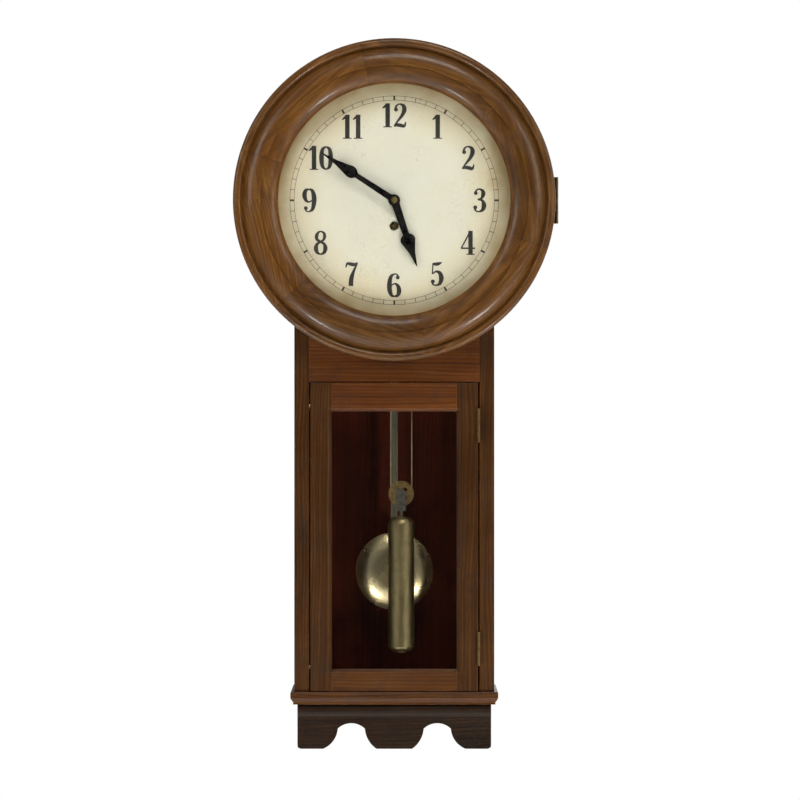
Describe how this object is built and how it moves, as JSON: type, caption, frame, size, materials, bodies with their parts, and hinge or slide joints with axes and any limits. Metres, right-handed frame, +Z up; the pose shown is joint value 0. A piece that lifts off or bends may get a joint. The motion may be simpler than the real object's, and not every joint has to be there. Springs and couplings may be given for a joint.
{
  "type": "wall clock",
  "caption": "Weight-driven wall clock: a round glazed head door over a painted dial, a trunk with a glazed door onto a weight and pendulum, and a scalloped base.",
  "frame": {"origin": "centre of the hanger hole, on the back plane that lies on the wall", "axes": "+X right seen from the front, +Y out of the back into the wall, +Z up"},
  "size_m": [0.4184, 0.1621, 0.9145],
  "materials": {
    "walnut": "aged dark stained walnut under old shellac",
    "ring_wood": "turned walnut, worn lighter, old shellac",
    "case_back": "plain stained board",
    "dial_paint": "aged ivory paint, tan at the rim",
    "hand_metal": "blued steel gone nearly black",
    "brass": "satin brass",
    "bob_brass": "polished brass",
    "weight_brass": "dull lacquered brass",
    "steel": "plain steel",
    "iron": "black painted casting",
    "glass": "clear old window glass",
    "gut": "natural gut line"
  },
  "bodies": {
    "case": {"backboard": "case_back", "hanger_plate": "steel", "hanger_screws": "steel", "trunk_side_left": "walnut", "trunk_side_right": "walnut", "bottom_board": "walnut", "neck_rail": "walnut", "head_shell": "walnut", "dial_board": "walnut", "dial": "dial_paint", "base_moulding_front": "walnut", "base_moulding_left": "walnut", "base_moulding_right": "walnut", "apron_front": "walnut", "apron_left": "walnut", "apron_right": "walnut", "ball_catches": "brass", "hinge_leaves_case": "brass", "back_plate": "brass", "front_plate": "brass", "pillars": "brass", "movement_bracket_left": "iron", "movement_bracket_right": "iron", "suspension_cock": "brass", "cable_stud": "steel", "cable_runs": "gut"},
    "head_door": {"head_ring": "ring_wood", "head_glass": "glass", "glass_retainer": "walnut", "head_hinge_leaf": "brass"},
    "trunk_door": {"door_stile_left": "walnut", "door_stile_right": "walnut", "door_rail_top": "walnut", "door_rail_bottom": "walnut", "door_glass": "glass", "door_bead": "walnut", "trunk_hinge_leaves": "brass"},
    "minute_train": {"centre_wheel": "brass", "cannon_pinion": "brass", "minute_hand": "hand_metal", "hand_collet": "brass"},
    "hour_train": {"hour_wheel": "brass", "hour_hand": "hand_metal"},
    "motion_train": {"motion_wheel": "brass"},
    "second_train": {"second_wheel": "brass"},
    "great_train": {"great_wheel": "brass", "click": "steel"},
    "third_train": {"third_wheel": "brass"},
    "escape_train": {"escape_wheel": "brass"},
    "drum": {"drum": "brass"},
    "weight": {"weight": "weight_brass", "stirrup": "steel", "cable_loop": "gut"},
    "pulley": {"pulley": "brass"},
    "verge": {"pallets": "steel", "crutch": "steel"},
    "pendulum": {"suspension_spring": "steel", "pendulum_rod": "walnut", "rating_nut": "brass", "bob": "bob_brass"}
  },
  "joints": [
    {"name": "minute_hand_turn", "type": "hinge", "parent": "case", "child": "minute_train", "pos_m": [0, -0.089, -0.15], "axis": [0, 1, 0], "continuous": true},
    {"name": "hour_hand_turn", "type": "hinge", "parent": "case", "child": "hour_train", "pos_m": [0, -0.12, -0.15], "axis": [0, 1, 0], "continuous": true},
    {"name": "motion_wheel_turn", "type": "hinge", "parent": "case", "child": "motion_train", "pos_m": [-0.01697, -0.112, -0.13303], "axis": [0, 1, 0], "continuous": true},
    {"name": "second_wheel_turn", "type": "hinge", "parent": "case", "child": "second_train", "pos_m": [-0.0189, -0.089, -0.1552], "axis": [0, 1, 0], "continuous": true},
    {"name": "great_wheel_turn", "type": "hinge", "parent": "case", "child": "great_train", "pos_m": [0, -0.08, -0.183], "axis": [0, 1, 0], "continuous": true},
    {"name": "third_wheel_turn", "type": "hinge", "parent": "case", "child": "third_train", "pos_m": [0.01184, -0.089, -0.12252], "axis": [0, 1, 0], "continuous": true},
    {"name": "escape_wheel_turn", "type": "hinge", "parent": "case", "child": "escape_train", "pos_m": [0, -0.08, -0.1011], "axis": [0, 1, 0], "continuous": true},
    {"name": "weight_travel", "type": "slide", "parent": "case", "child": "weight", "axis": [0, 0, 1], "range_m": [-0.0473, 0.27], "deforming": ["cable_runs"]},
    {"name": "drum_wind", "type": "hinge", "parent": "case", "child": "drum", "pos_m": [0, -0.092, -0.183], "axis": [0, 1, 0], "range_deg": [-1380, 250]},
    {"name": "pulley_turn", "type": "hinge", "parent": "weight", "child": "pulley", "pos_m": [0.009, -0.089, -0.529], "axis": [0, 1, 0], "range_deg": [-1150, 210]},
    {"name": "pendulum_swing", "type": "hinge", "parent": "case", "child": "pendulum", "pos_m": [0, -0.048, -0.07], "axis": [0, 1, 0], "range_deg": [-3, 3]},
    {"name": "verge_rock", "type": "hinge", "parent": "case", "child": "verge", "pos_m": [0, -0.08, -0.07], "axis": [0, 1, 0], "range_deg": [-3, 3]},
    {"name": "head_door_swing", "type": "hinge", "parent": "case", "child": "head_door", "pos_m": [0.2094, -0.12875, -0.15], "axis": [0, 0, 1], "range_deg": [0, 105]},
    {"name": "trunk_door_swing", "type": "hinge", "parent": "case", "child": "trunk_door", "pos_m": [0.109, -0.1282, -0.584], "axis": [0, 0, 1], "range_deg": [0, 110]}
  ],
  "couplings": [
    {"joint": "hour_hand_turn", "follows": "minute_hand_turn", "ratio": 0.083333},
    {"joint": "motion_wheel_turn", "follows": "minute_hand_turn", "ratio": -0.33333},
    {"joint": "second_wheel_turn", "follows": "minute_hand_turn", "ratio": -0.16667},
    {"joint": "great_wheel_turn", "follows": "minute_hand_turn", "ratio": 0.02381},
    {"joint": "third_wheel_turn", "follows": "minute_hand_turn", "ratio": -10},
    {"joint": "escape_wheel_turn", "follows": "minute_hand_turn", "ratio": 80},
    {"joint": "drum_wind", "follows": "weight_travel", "rad_per_m": -88.496},
    {"joint": "pulley_turn", "follows": "weight_travel", "rad_per_m": -73.529},
    {"joint": "verge_rock", "follows": "pendulum_swing", "ratio": 1}
  ]
}
